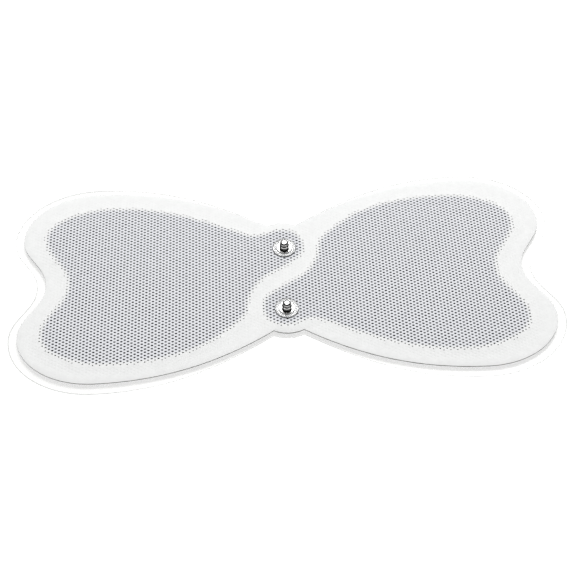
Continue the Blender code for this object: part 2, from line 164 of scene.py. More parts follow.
def dress(piece, slot, finish, *nodes):
    """Puts a piece on the pad's one body with its finish, in place of its CAD nodes. The slot is not used.
    """
    if piece.name not in bpy.context.scene.collection.objects:
        bpy.context.scene.collection.objects.link(piece)
    piece.data.materials.clear()
    piece.data.materials.append(finish)
    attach(piece, "root")
    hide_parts(*nodes)


def plug(tree, socket, value):
    """Links a node's output to a socket, or sets the socket to a value or colour."""
    if isinstance(value, bpy.types.NodeSocket):
        tree.links.new(value, socket)
    else:
        socket.default_value = (*value, 1.0) if socket.type == "RGBA" else value


def feed(tree, node, **inputs):
    """Plugs values or other nodes' outputs into a node's sockets. Their names are in lower case, with
    underscores for spaces."""
    for name, value in inputs.items():
        wanted = name.replace("_", " ")
        plug(tree, next(s for s in node.inputs if s.enabled and s.name.lower() == wanted), value)


def add_node(tree, kind, settings=None, **inputs):
    """A shader node. Settings are its own properties, and inputs go to its sockets."""
    node = tree.nodes.new("ShaderNode" + kind)
    for name, value in (settings or {}).items():
        setattr(node, name, value)
    feed(tree, node, **inputs)
    return node


def math_node(tree, operation, *values):
    """The result of a Math node."""
    node = add_node(tree, "Math", {"operation": operation})
    for socket, value in zip(node.inputs, values):
        plug(tree, socket, value)
    return node.outputs[0]


def vector_node(tree, operation, *values, result="Vector"):
    """The result of a Vector Math node."""
    node = add_node(tree, "VectorMath", {"operation": operation})
    for socket, value in zip((s for s in node.inputs if s.enabled), values):
        plug(tree, socket, value)
    return node.outputs[result]


def colour_between(tree, share, first, second):
    """A colour that goes from first to second as share goes from 0 to 1."""
    node = add_node(tree, "Mix", {"data_type": "RGBA"}, factor=share, a=first, b=second)
    return next(s for s in node.outputs if s.enabled)


def ramp(tree, value, low, high, to_low, to_high):
    """A smooth step of a value: to_low below low, to_high above high."""
    node = add_node(
        tree, "MapRange", {"interpolation_type": "SMOOTHSTEP"},
        value=value, from_min=low, from_max=high, to_min=to_low, to_max=to_high,
    )
    return node.outputs[0]


def by_grain(tree, value, to_low, to_high):
    """A smooth step over the middle of a grain's values, where nearly all of them lie."""
    return ramp(tree, value, 0.3, 0.7, to_low, to_high)


def grain_group():
    """Shader group: an irregular grain from 0 to 1 on the object's own coordinates. Size is the width of one
    grain in metres, and Stretch makes the grains that many times longer along X."""
    group = bpy.data.node_groups.new("grain", "ShaderNodeTree")
    for name in ("Size", "Stretch"):
        group.interface.new_socket(name, in_out="INPUT", socket_type="NodeSocketFloat")
    group.interface.new_socket("Value", in_out="OUTPUT", socket_type="NodeSocketFloat")
    asked = group.nodes.new("NodeGroupInput")
    given = group.nodes.new("NodeGroupOutput")
    along = math_node(group, "DIVIDE", 1.0, asked.outputs["Stretch"])
    shape = add_node(group, "CombineXYZ", x=along, y=1.0, z=1.0)
    place = add_node(group, "TexCoord").outputs["Object"]
    place = vector_node(group, "MULTIPLY", place, shape.outputs[0])
    per_metre = math_node(group, "DIVIDE", 1.0, asked.outputs["Size"])
    noise = add_node(group, "TexNoise", vector=place, scale=per_metre, detail=3.0, roughness=0.6)
    group.links.new(noise.outputs[0], given.inputs["Value"])
    return group


GRAIN = grain_group()


def grain(tree, size, stretch=1.0):
    """The grain group's value in this material."""
    node = tree.nodes.new("ShaderNodeGroup")
    node.node_tree = GRAIN
    node.inputs["Size"].default_value = size
    node.inputs["Stretch"].default_value = stretch
    return node.outputs["Value"]


def mask(tree, name):
    """A mask that the mesh carries."""
    return add_node(tree, "Attribute", {"attribute_name": name}).outputs["Fac"]


def new_finish(name):
    """An empty material with a Principled BSDF. Gives back the material, its tree and its shader."""
    made = bpy.data.materials.new(name)
    made.use_nodes = True
    return made, made.node_tree, made.node_tree.nodes["Principled BSDF"]


def bump(tree, shader, height, depth, strength):
    """Relief of that depth in metres on a shader."""
    node = add_node(tree, "Bump", strength=strength, distance=depth, height=height)
    feed(tree, shader, normal=node.outputs[0])


liner_finish, tree, shader = new_finish("clear_liner_film")
edge = mask(tree, "shaded_cut_edge")
scuffs = grain(tree, LINER_SCUFF, 3.0)
cover = ramp(tree, edge, 0.0, 1.0, LINER_ALPHA, LINER_EDGE_SHADE_ALPHA)
feed(
    tree,
    shader,
    base_color=colour_between(tree, edge, LINER_COLOUR, LINER_EDGE_SHADE_COLOUR),
    alpha=math_node(tree, "MULTIPLY", cover, by_grain(tree, scuffs, 0.96, 1.04)),
    roughness=by_grain(tree, scuffs, 0.10, 0.20),
)
bump(tree, shader, scuffs, 0.02 * MM, 0.4)

# The margin's lift grows with the square of the way out, in waves along the edge
plans = [butterfly(share * LINER_MARGIN, share * LINER_WAIST_MARGIN) for share in LINER_RINGS]
edge_run = np.linspace(0.0, math.tau, len(plans[0]), endpoint=False)
out_of_step = LINER_UNEVEN * np.sin(LINER_UNEVEN_WAVES * edge_run)
swing = LINER_LIFT_SWING * np.sin(LINER_WAVES * edge_run + out_of_step)
lifts = LINER_RINGS[:, None] ** 2 * (LINER_LIFT * (LINER_LIFT_MEAN + swing))
top_rings = np.concatenate((np.stack(plans), (liner_high.z + lifts)[..., None]), axis=2)
under_rings = np.concatenate((np.stack(plans), (liner_low.z + lifts)[..., None]), axis=2)
top_rings[-1, :, 2] -= LINER_ROUND
liner_rings = np.concatenate((top_rings, under_rings[::-1]))
around = len(plans[0])
liner_faces = joined_rings(len(liner_rings), 0, around).tolist()
last_ring = (len(liner_rings) - 1) * around
liner_faces += [list(range(around)), list(range(last_ring, last_ring + around))[::-1]]
liner_mesh = mesh_of("liner_film", liner_rings.reshape(-1, 3), liner_faces)
# The outer rings of the top and the underside carry the mask for the painted shade line on the cut edge.
shaded_liner_edge = np.zeros(liner_rings.shape[:2])
shaded_liner_edge[len(plans) - 1 : len(plans) + 1] = 1.0
give_mask(liner_mesh, "shaded_cut_edge", shaded_liner_edge.ravel())
liner_mesh.set_sharp_from_angle(angle=LINER_SHARP)
liner = bpy.data.objects.new("liner_film", liner_mesh)
dress(liner, "liner", liner_finish, "release_liner")


# Gel pads: one slab of sticky conductive hydrogel under each wing, poured and cut along the S-shaped gap, so
# that the two electrodes never touch. The gel is soft and milky, and its cut edge bulges a little.
WINGS = ("right", "left")
GEL_EDGE_ROUND = 0.4 * MM
GEL_EDGE_SHARP = math.radians(50)
GEL_IOR = 1.38
GEL_COLOUR = (0.83, 0.84, 0.81)
GEL_CLOUD_COLOUR = (0.76, 0.78, 0.74)
GEL_SHADE_COLOUR = (0.46, 0.47, 0.43)
GEL_SHADE_LEVELS = (0.31 * MM, 0.40 * MM)  # between these levels the milky underside gives way to a darker colour above, painted shade for the gel's cut edge
GEL_CLOUD = 6.0 * MM
GEL_RIPPLE = 1.5 * MM
MERGE_DISTANCE = 0.001 * MM

gel_finish, tree, shader = new_finish("milky_hydrogel")
clouds = grain(tree, GEL_CLOUD)
ripples = grain(tree, GEL_RIPPLE)
tint = colour_between(tree, ramp(tree, clouds, 0.35, 0.65, 0.0, 1.0), GEL_COLOUR, GEL_CLOUD_COLOUR)
place = add_node(tree, "SeparateXYZ", vector=add_node(tree, "TexCoord").outputs["Object"])
# The gel is painted darker above its underside: painted shade on its cut edge, under the overhanging cloth.
gel_shade = ramp(tree, place.outputs["Z"], *GEL_SHADE_LEVELS, 0.0, 1.0)
feed(
    tree,
    shader,
    base_color=colour_between(tree, gel_shade, tint, GEL_SHADE_COLOUR),
    alpha=by_grain(tree, clouds, 0.84, 0.92),
    roughness=by_grain(tree, ripples, 0.12, 0.28),
    ior=GEL_IOR,
)
bump(tree, shader, ripples, 0.05 * MM, 0.3)


def merged_copy(node, name):
    """A new object with a CAD node's shape, its loose triangles joined into whole faces."""
    bm = bmesh.new()
    bm.from_mesh(cad_nodes[node].data)
    bmesh.ops.remove_doubles(bm, verts=bm.verts, dist=MERGE_DISTANCE)
    bmesh.ops.dissolve_limit(bm, angle_limit=math.radians(0.5), verts=bm.verts, edges=bm.edges)
    mesh = bpy.data.meshes.new(name)
    bm.to_mesh(mesh)
    bm.free()
    mesh.shade_smooth()
    return bpy.data.objects.new(name, mesh)


for wing in WINGS:
    gel = merged_copy("gel_" + wing, "hydrogel_" + wing)
    edge_round = gel.modifiers.new("edge_round", "BEVEL")
    edge_round.width = GEL_EDGE_ROUND
    edge_round.segments = 3
    edge_round.limit_method = "ANGLE"
    edge_round.angle_limit = GEL_EDGE_SHARP
    edge_round.harden_normals = True
    dress(gel, "gel", gel_finish, "gel_" + wing)


# Carbon films: a black conductive plastic film for each wing, die-cut and laid on the gel. Its tongue brings
# the current to the wing's own stud. It shows only through the pinholes of the cloth.
CARBON_COLOUR = (0.012, 0.012, 0.014)
CARBON_WORN_COLOUR = (0.030, 0.030, 0.034)
CARBON_GRAIN = 0.25 * MM
CARBON_STREAK = 8.0

carbon_finish, tree, shader = new_finish("black_carbon_film")
streaks = grain(tree, CARBON_GRAIN, CARBON_STREAK)
tint = colour_between(tree, ramp(tree, streaks, 0.35, 0.7, 0.0, 1.0), CARBON_COLOUR, CARBON_WORN_COLOUR)
feed(tree, shader, base_color=tint, roughness=by_grain(tree, streaks, 0.45, 0.62))
bump(tree, shader, streaks, 0.01 * MM, 0.4)
for wing in WINGS:
    cad_nodes["carbon_film_" + wing].material_slots[0].material = carbon_finish


# Cover cloth: white nonwoven cloth with a fine honeycomb of punched pinholes, bonded over films and gel. It
# is die-cut to the pad's outline. Over the films the black shows through the holes and greys the threads.
# Past them the cloth sinks on to the gel, and there the holes are only faint dimples.
CLOTH_THICKNESS = 0.4 * MM
PIN_PITCH = 1.556 * MM
PIN_TURN = math.radians(-0.7)  # the honeycomb lies a little askew
PIN_RADII = np.array((0.50, 0.36)) * MM  # the punch leaves ovals that lie across the pad's length
PIN_FOOT_RADII = np.array((0.68, 0.56)) * MM  # wider below, where the punch came in
PIN_SIDES = 8
PIN_FOOT_SIDES = 4
PIN_WANDER = 0.03 * MM
PIN_SPREAD = 0.05  # holes differ in radius by this share
PIN_SMALLEST = 0.6  # holes narrow towards the film's edge, where the cloth bends and closes up
PIN_NARROWED = 2.0 * MM  # how far in from the outermost holes they do
PIERCED_PAST_FILM = 0.9 * MM
PINS_FROM_EDGE = 1.6 * MM
SHANK_HOLE_RADIUS = 1.1 * MM
SHANK_HOLE_SIDES = 24
CLOTH_SINK = 0.3 * MM  # how far the cloth drops past the films
SINK_START = 0.4 * MM
SINK_END = 3.0 * MM
FREE_POINT_PITCH = 2.4 * MM
CLOTH_EDGE = np.array(((0.12, 0.0), (0.04, 0.03), (0.0, 0.10))) * MM  # rounded rim, as inset and drop
CLOTH_SHARP = math.radians(50)
BORDER_COLOUR = (0.93, 0.935, 0.93)
OVER_FILM_COLOUR = (0.86, 0.87, 0.905)
CLOTH_EDGE_SHADE_COLOUR = (0.14, 0.145, 0.13)  # painted shade: the lower part of the cloth's rim wall is painted dark, as the shade under its cut edge
CLOTH_SHINE = 0.25
FILM_SHOWS = (-0.4, 2.0)  # depths in the film, in millimetres, between which its grey comes in
DIMPLES_END = (-1.6, -1.1)  # the same where the holes take over from the dimples
DIMPLES_FADE = (-8.0, -2.0)  # and where the dimples grow faint, off the film
DIMPLE_REACH = (0.5, 1.15)  # from a hole's middle, with its rim at 1
HOLE_RIM_REACH = (0.9, 1.75)
# The dimples are painted a little darker, as painted shade in them.
DIMPLE_PAINTED_SHADE = 0.98
# Over the films the threads are painted darker towards each hole, as painted shade on the holes' rounded
# rims.
HOLE_RIM_PAINTED_SHADE = 0.80
POINTS_AT_ONCE = 2000  # measured against the outlines together, to spare memory
FIBRE_SIZE = 0.12 * MM
FIBRE_LENGTH = 9.0  # times that
FIBRE_SLANT = math.radians(35)
TUFT_SIZE = 2.5 * MM


def outline_segments(node):
    """The outline of a flat CAD sheet as loose segments: the upper edges of its side walls, in plan."""
    data = cad_nodes[node].data
    data.calc_loop_triangles()
    points = np.empty(len(data.vertices) * 3)
    data.vertices.foreach_get("co", points)
    corners = np.empty(len(data.loop_triangles) * 3, np.int64)
    data.loop_triangles.foreach_get("vertices", corners)
    triangles = points.reshape(-1, 3)[corners.reshape(-1, 3)]
    level = points[2::3].max() - MERGE_DISTANCE
    walls = triangles[(triangles[..., 2] > level).sum(axis=1) == 2]
    return walls[walls[..., 2] > level].reshape(-1, 2, 3)[..., :2]


def depth_inside(points, segments):
    """How far points lie inside closed outlines given as loose segments, and negative outside. The distance
    is that to the nearest segment, and its sign comes from how many segments a line towards +X crosses."""
    start = segments[None, :, 0]
    along = segments[None, :, 1] - start
    depths = []
    for part in np.array_split(points, max(1, len(points) // POINTS_AT_ONCE)):
        to_point = part[:, None] - start
        share = np.clip((to_point * along).sum(2) / (along**2).sum(2), 0.0, 1.0)
        distance = np.linalg.norm(to_point - share[..., None] * along, axis=2).min(axis=1)
        spans = (start[..., 1] > part[:, None, 1]) != (segments[None, :, 1, 1] > part[:, None, 1])
        rise = np.where(spans, along[..., 1], 1.0)
        crossing = start[..., 0] + (part[:, None, 1] - start[..., 1]) / rise * along[..., 0]
        inside = (spans & (crossing > part[:, None, 0])).sum(axis=1) % 2 == 1
        depths.append(np.where(inside, distance, -distance))
    return np.concatenate(depths)


def honeycomb(pitch):
    """Points of a honeycomb over the whole pad: columns along Y, every other one half a pitch higher, and
    all turned by the honeycomb's own angle."""
    columns = math.ceil(PAD_LENGTH / pitch)
    rows = math.ceil(PAD_WIDTH / pitch)
    column, row = np.meshgrid(np.arange(-columns, columns + 1), np.arange(-rows, rows + 1), indexing="ij")
    x = column * pitch * math.sqrt(3) / 2
    y = (row + 0.5 * (column % 2)) * pitch
    turned_x = x * math.cos(PIN_TURN) - y * math.sin(PIN_TURN)
    turned_y = x * math.sin(PIN_TURN) + y * math.cos(PIN_TURN)
    return np.stack((turned_x.ravel(), turned_y.ravel()), axis=1)


def oval_holes(centres, radii, sizes, sides):
    """Polygons round the centres, anticlockwise: corner k is at (a cos t, b sin t) times the hole's own
    size, with t = (k + 0.5) 2 pi / sides and the two radii a along X and b along Y."""
    angles = (np.arange(sides) + 0.5) * math.tau / sides
    corners = np.stack((np.cos(angles), np.sin(angles)), axis=1) * radii
    return centres[:, None] + np.asarray(sizes)[:, None, None] * corners


def inset(outline, distance):
    """An anticlockwise outline moved inwards, each point square to the line between its neighbours."""
    along = np.roll(outline, -1, axis=0) - np.roll(outline, 1, axis=0)
    inwards = np.stack((-along[:, 1], along[:, 0]), axis=1)
    return outline + distance * inwards / np.linalg.norm(inwards, axis=1, keepdims=True)


def face_with_holes(loops, free_points):
    """Triangles between an outer loop and the holes in it. The loops come as arrays of closed polygons, the
    outer one first. Triangles whose corners all lie on one hole, or on the rim and outside it, are left
    out."""
    points = np.concatenate([loop.reshape(-1, 2) for loop in loops] + [free_points])
    owner = np.full(len(points), -1)
    edges = []
    first = 0
    for group, loop in enumerate(loops):
        numbers = first + np.arange(loop.shape[0] * loop.shape[1]).reshape(loop.shape[:2])
        edges.append(np.stack((numbers, np.roll(numbers, -1, axis=1)), axis=2).reshape(-1, 2))
        owner[numbers] = numbers[:, :1] if group else -1
        first += numbers.size
    result = delaunay_2d_cdt(points.tolist(), np.concatenate(edges).tolist(), [], 1, 1e-9, True)
    source = np.array([origin[0] for origin in result[3]])
    triangles = source[np.array(result[2])]
    owners = owner[triangles]
    one_hole = (owners[:, 0] >= 0) & (owners[:, 0] == owners[:, 1]) & (owners[:, 1] == owners[:, 2])
    on_rim = (triangles < loops[0].shape[1]).all(axis=1)
    rim_sides = np.stack((loops[0][0], np.roll(loops[0][0], -1, axis=0)), axis=1)
    outside = np.zeros(len(triangles), bool)
    outside[on_rim] = depth_inside(points[triangles[on_rim]].mean(axis=1), rim_sides) < 0
    return points, triangles[~one_hole & ~outside]


film_edges = [outline_segments("carbon_film_" + wing) for wing in WINGS]
stud_boxes = [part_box("stud_" + wing) for wing in WINGS]
stud_places = np.array([(low + high)[:2] for low, high in stud_boxes]) / 2
shank_away = 2 * SHANK_HOLE_RADIUS
film_edges = [
    edges[np.linalg.norm(edges[:, 0, None] - stud_places, axis=2).min(axis=1) > shank_away]
    for edges in film_edges
]


def depth_in_film(points):
    """How far points lie inside the nearer film's outline, and negative off the films."""
    return np.maximum(depth_inside(points, film_edges[0]), depth_inside(points, film_edges[1]))


def sunk(depths):
    """How far the cloth has dropped at these depths in the film: nothing over it, then a smooth slope."""
    share = np.clip((-depths - SINK_START) / (SINK_END - SINK_START), 0.0, 1.0)
    return CLOTH_SINK * share**2 * (3 - 2 * share)


dice = np.random.default_rng(7)
cloth_edge = butterfly(0.0, 0.0)
cloth_sides = np.stack((cloth_edge, np.roll(cloth_edge, -1, axis=0)), axis=1)
pins = honeycomb(PIN_PITCH)
pins = pins[depth_inside(pins, cloth_sides) > PINS_FROM_EDGE]
pins = pins[depth_in_film(pins) > -PIERCED_PAST_FILM]
off_shank = np.linalg.norm(pins[:, None] - stud_places, axis=2).min(axis=1)
pins = pins[off_shank > SHANK_HOLE_RADIUS + PIN_FOOT_RADII[0] + PIN_WANDER * 2]
pins = pins + dice.uniform(-PIN_WANDER, PIN_WANDER, pins.shape)
narrowed = np.clip(1 - (depth_in_film(pins) + PIERCED_PAST_FILM) / PIN_NARROWED, 0.0, 1.0)
size = 1 + dice.uniform(-PIN_SPREAD, PIN_SPREAD, len(pins)) - (1 - PIN_SMALLEST) * narrowed

free = honeycomb(FREE_POINT_PITCH)
free = free[depth_inside(free, cloth_sides) > PINS_FROM_EDGE]
free = free[depth_in_film(free) < -PIERCED_PAST_FILM - 2 * PIN_FOOT_RADII[0]]

rim = [inset(cloth_edge, step) for step, _ in CLOTH_EDGE]
shanks = oval_holes(stud_places, SHANK_HOLE_RADIUS, [1.0, 1.0], SHANK_HOLE_SIDES)
tops = oval_holes(pins, PIN_RADII, size, PIN_SIDES)
feet = oval_holes(pins, PIN_FOOT_RADII, size, PIN_FOOT_SIDES)
top_points, top_faces = face_with_holes([rim[0][None], shanks, tops], free)
foot_points, foot_faces = face_with_holes([rim[-1][None], shanks, feet], free)


def facing(points, triangles, up):
    """The same triangles, turned so that they face up or down."""
    a, b, c = (points[triangles[:, k]] for k in range(3))
    turn = (b - a)[:, 0] * (c - a)[:, 1] - (b - a)[:, 1] * (c - a)[:, 0]
    return np.where((turn > 0)[:, None] == up, triangles, triangles[:, ::-1])


top_depths = depth_in_film(top_points)
foot_depths = depth_in_film(foot_points)
rim_depths = depth_in_film(cloth_edge)
rim_levels = np.stack([cloth_high.z - drop - sunk(rim_depths) for _, drop in CLOTH_EDGE])
around = len(cloth_edge)
middle_rings = np.concatenate((np.stack(rim[1:]), rim_levels[1:, :, None]), axis=2).reshape(-1, 3)
top_3d = np.column_stack((top_points, cloth_high.z - sunk(top_depths)))
foot_3d = np.column_stack((foot_points, cloth_high.z - CLOTH_THICKNESS - sunk(foot_depths)))
cloth_points = np.concatenate((top_3d, foot_3d, middle_rings))
first_foot = len(top_3d)
first_ring = first_foot + len(foot_3d)

wall_of_rim = []
ring_starts = [0, first_ring, first_ring + around, first_foot]
for upper, lower in zip(ring_starts, ring_starts[1:]):
    here = np.arange(around)
    there = np.roll(here, -1)
    wall_of_rim.append(np.column_stack((upper + here, lower + here, lower + there)))
    wall_of_rim.append(np.column_stack((upper + here, lower + there, upper + there)))

shank_here = around + np.arange(shanks.shape[0] * SHANK_HOLE_SIDES).reshape(-1, SHANK_HOLE_SIDES)
shank_there = np.roll(shank_here, -1, axis=1)
here, there = shank_here.ravel(), shank_there.ravel()
shank_walls = [
    np.column_stack((here, there, first_foot + there)),
    np.column_stack((here, first_foot + there, first_foot + here)),
]

first_pin = around + shank_here.size
corner = np.arange(PIN_SIDES)
foot = corner // 2
pin_tops = first_pin + np.arange(len(pins))[:, None] * PIN_SIDES
pin_feet = first_foot + first_pin + np.arange(len(pins))[:, None] * PIN_FOOT_SIDES
even = corner[::2]
odd = corner[1::2]
next_foot = (foot[1::2] + 1) % PIN_FOOT_SIDES
next_corner = (odd + 1) % PIN_SIDES
pin_walls = [
    np.stack((pin_tops + even, pin_tops + even + 1, pin_feet + foot[::2]), axis=2).reshape(-1, 3),
    np.stack((pin_tops + odd, pin_tops + next_corner, pin_feet + next_foot), axis=2).reshape(-1, 3),
    np.stack((pin_tops + odd, pin_feet + next_foot, pin_feet + foot[1::2]), axis=2).reshape(-1, 3),
]
cloth_faces = np.concatenate(
    [
        facing(top_points, top_faces, True),
        first_foot + facing(foot_points, foot_faces, False),
        *wall_of_rim,
        *shank_walls,
        *pin_walls,
    ]
)

cloth_mesh = bpy.data.meshes.new("perforated_cloth")
cloth_mesh.vertices.add(len(cloth_points))
cloth_mesh.vertices.foreach_set("co", cloth_points.ravel())
cloth_mesh.loops.add(cloth_faces.size)
cloth_mesh.loops.foreach_set("vertex_index", cloth_faces.ravel().astype(np.int32))
cloth_mesh.polygons.add(len(cloth_faces))
cloth_mesh.polygons.foreach_set("loop_start", (3 * np.arange(len(cloth_faces))).astype(np.int32))
cloth_mesh.update(calc_edges=True)
cloth_mesh.shade_smooth()
cloth_mesh.set_sharp_from_angle(angle=CLOTH_SHARP)
ring_depths = np.tile(rim_depths, len(CLOTH_EDGE) - 1)
give_mask(cloth_mesh, "depth_in_film", np.concatenate((top_depths, foot_depths, ring_depths)) / MM)
# The foot's outer ring and the lowest rim ring carry the mask for the painted shade under the cut edge.
shaded_cut = np.zeros(len(cloth_points))
shaded_cut[first_foot : first_foot + around] = 1.0
shaded_cut[first_ring + around :] = 1.0
give_mask(cloth_mesh, "shaded_cut_edge", shaded_cut)


def fibres(tree, size, length):
    """Two crossing sets of fine fibres, the higher of the two at each point, from 0 to 1."""
    place = add_node(tree, "TexCoord").outputs["Object"]
    sets = []
    for angle in (FIBRE_SLANT, -FIBRE_SLANT):
        stretch = (1 / length, 1.0, 1.0)
        lain = add_node(tree, "Mapping", vector=place, rotation=(0.0, 0.0, angle), scale=stretch).outputs[0]
        noise = add_node(tree, "TexNoise", vector=lain, scale=1 / size, detail=2.0, distortion=0.4)
        sets.append(noise.outputs[0])
    return math_node(tree, "MAXIMUM", *sets)


def pinhole_distance(tree):
    """The distance to the middle of the nearest pinhole, 1 at its rim. A honeycomb is two square-cornered
    grids, one half a cell off the other both ways, so it is the smaller of two wrapped distances."""
    place = add_node(tree, "TexCoord").outputs["Object"]
    level = add_node(tree, "Mapping", vector=place, rotation=(0.0, 0.0, -PIN_TURN), scale=(1.0, 1.0, 0.0))
    round_holes = add_node(tree, "Mapping", vector=level.outputs[0], scale=(*(1 / PIN_RADII), 0.0))
    cell = (PIN_PITCH * math.sqrt(3) / 2 / PIN_RADII[0], PIN_PITCH / 2 / PIN_RADII[1], 1.0)
    distances = []
    for shift in ((0.0, 0.0, 0.0), cell[:2] + (0.0,)):
        moved = vector_node(tree, "ADD", round_holes.outputs[0], shift)
        wrapped = vector_node(tree, "WRAP", moved, cell, tuple(-side for side in cell))
        distances.append(vector_node(tree, "LENGTH", wrapped, result="Value"))
    return math_node(tree, "MINIMUM", *distances)


cloth_finish, tree, shader = new_finish("white_nonwoven")
depth = mask(tree, "depth_in_film")
over_film = ramp(tree, depth, *FILM_SHOWS, 0.0, 1.0)
from_hole = pinhole_distance(tree)
# Painted shade round each hole's rim, over the films only.
painted_rim_shade = math_node(tree, "MULTIPLY", ramp(tree, from_hole, *HOLE_RIM_REACH, 1.0, 0.0), over_film)
dimple = ramp(tree, from_hole, *DIMPLE_REACH, 1.0, 0.0)
dimple = math_node(tree, "MULTIPLY", dimple, ramp(tree, depth, *DIMPLES_END, 1.0, 0.0))
dimple = math_node(tree, "MULTIPLY", dimple, ramp(tree, depth, *DIMPLES_FADE, 0.2, 1.0))
threads = fibres(tree, FIBRE_SIZE, FIBRE_LENGTH)
tufts = grain(tree, TUFT_SIZE)
tint = colour_between(tree, over_film, BORDER_COLOUR, OVER_FILM_COLOUR)
# Painted shade: the lower part of the rim wall is painted dark.
tint = colour_between(tree, mask(tree, "shaded_cut_edge"), tint, CLOTH_EDGE_SHADE_COLOUR)
shade = by_grain(tree, tufts, 0.97, 1.0)
shade = math_node(tree, "MULTIPLY", shade, ramp(tree, threads, 0.35, 0.7, 0.97, 1.0))
# Painted shade in the dimples and round the holes' rims.
shade = math_node(tree, "MULTIPLY", shade, ramp(tree, dimple, 0.0, 1.0, 1.0, DIMPLE_PAINTED_SHADE))
shade = math_node(tree, "MULTIPLY", shade, ramp(tree, painted_rim_shade, 0.0, 1.0, 1.0, HOLE_RIM_PAINTED_SHADE))
feed(
    tree,
    shader,
    base_color=vector_node(tree, "SCALE", tint, shade),
    roughness=by_grain(tree, threads, 0.80, 0.95),
    specular_ior_level=CLOTH_SHINE,
)
pressed = math_node(tree, "MULTIPLY", dimple, 0.5)
relief = math_node(tree, "SUBTRACT", math_node(tree, "MULTIPLY", threads, 0.35), pressed)
bump(tree, shader, relief, 0.10 * MM, 0.7)

cloth = bpy.data.objects.new("perforated_cloth", cloth_mesh)
dress(cloth, "cloth", cloth_finish, "cover_cloth")


# Washers: a moulded disc of clear plastic on the cloth round each stud, with a rounded rim and a shallow
# seat for the stud's flange. It spreads the pull of the lead over the cloth.
TURNED_STEPS = 64
TURNED_SHARP = math.radians(45)
WASHER_RIM_ROUND = 0.3 * MM
WASHER_SEAT_RADIUS = 3.3 * MM
WASHER_SEAT_DEPTH = 0.15 * MM
WASHER_FOOT_CUT = WASHER_SEAT_DEPTH / 3  # chamfer under the rim
WASHER_COLOUR = (0.96, 0.965, 0.965)
# The rounded rim and the side are painted dark and nearly opaque, as painted shade on the rim.
WASHER_RIM_SHADE_COLOUR = (0.10, 0.105, 0.11)
WASHER_ALPHA = 0.35
WASHER_RIM_SHADE_ALPHA = 0.92
WASHER_FLOW = 3.0 * MM


def arc_points(centre, radius, start, stop, count):
    """Points of (radius, height) on a round stretch of a turned profile, between two angles in degrees."""
    angle = np.radians(np.linspace(start, stop, count))
    return np.stack((centre[0] + radius * np.cos(angle), centre[1] + radius * np.sin(angle)), axis=1)


def turned(name, profile, place):
    """A turned piece: point (r, z) of its closed profile goes round to (r cos a, r sin a, z) at every
    angle a. The profile runs down the outside and back up the inside. Points on the axis are joined into
    one."""
    closed = np.concatenate((profile, profile[:1]))
    angle = np.arange(TURNED_STEPS) * math.tau / TURNED_STEPS
    x = place[0] + closed[:, :1] * np.cos(angle)
    y = place[1] + closed[:, :1] * np.sin(angle)
    z = np.broadcast_to(closed[:, 1:], x.shape)
    faces = joined_rings(len(closed), 0, TURNED_STEPS)
    on_axis = (closed[:-1, 0] + closed[1:, 0]) == 0
    faces = faces[~np.repeat(on_axis, TURNED_STEPS)]
    mesh = mesh_of(name, np.stack((x, y, z), axis=2).reshape(-1, 3), faces.tolist())
    bm = bmesh.new()
    bm.from_mesh(mesh)
    bmesh.ops.remove_doubles(bm, verts=bm.verts, dist=MERGE_DISTANCE)
    bmesh.ops.recalc_face_normals(bm, faces=bm.faces)
    bm.to_mesh(mesh)
    bm.free()
    mesh.set_sharp_from_angle(angle=TURNED_SHARP)
    return mesh


washer_finish, tree, shader = new_finish("clear_washer_plastic")
rim_shade = mask(tree, "shaded_rim")
flow = grain(tree, WASHER_FLOW)
cover = ramp(tree, rim_shade, 0.0, 1.0, WASHER_ALPHA, WASHER_RIM_SHADE_ALPHA)
feed(
    tree,
    shader,
    base_color=colour_between(tree, rim_shade, WASHER_COLOUR, WASHER_RIM_SHADE_COLOUR),
    alpha=math_node(tree, "MULTIPLY", cover, by_grain(tree, flow, 0.95, 1.05)),
    roughness=by_grain(tree, flow, 0.05, 0.09),
)
bump(tree, shader, flow, 0.03 * MM, 0.3)

for wing, place in zip(WINGS, stud_places):
    low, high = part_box("washer_" + wing)
    radius = (high.x - low.x) / 2
    seat = high.z - WASHER_SEAT_DEPTH
    rim_centre = (radius - WASHER_RIM_ROUND, high.z - WASHER_RIM_ROUND)
    profile = np.concatenate(
        (
            [(SHANK_HOLE_RADIUS, low.z), (SHANK_HOLE_RADIUS, seat), (WASHER_SEAT_RADIUS, seat)],
            [(WASHER_SEAT_RADIUS + WASHER_SEAT_DEPTH / 2, high.z)],
            arc_points(rim_centre, WASHER_RIM_ROUND, 90, 0, 7),
            [(radius, low.z + WASHER_FOOT_CUT), (radius - WASHER_FOOT_CUT, low.z)],
        )
    )
    washer_mesh = turned("clear_washer_" + wing, profile, place)
    places = np.empty(len(washer_mesh.vertices) * 3)
    washer_mesh.vertices.foreach_get("co", places)
    places = places.reshape(-1, 3)
    out = np.linalg.norm(places[:, :2] - place, axis=1)
    # The rim's outer half and the side carry the mask for that painted shade.
    give_mask(washer_mesh, "shaded_rim", (out > radius - WASHER_RIM_ROUND / 2) & (places[:, 2] < high.z))
    washer = bpy.data.objects.new("clear_washer_" + wing, washer_mesh)
    dress(washer, "clear_plastic", washer_finish, "washer_" + wing)


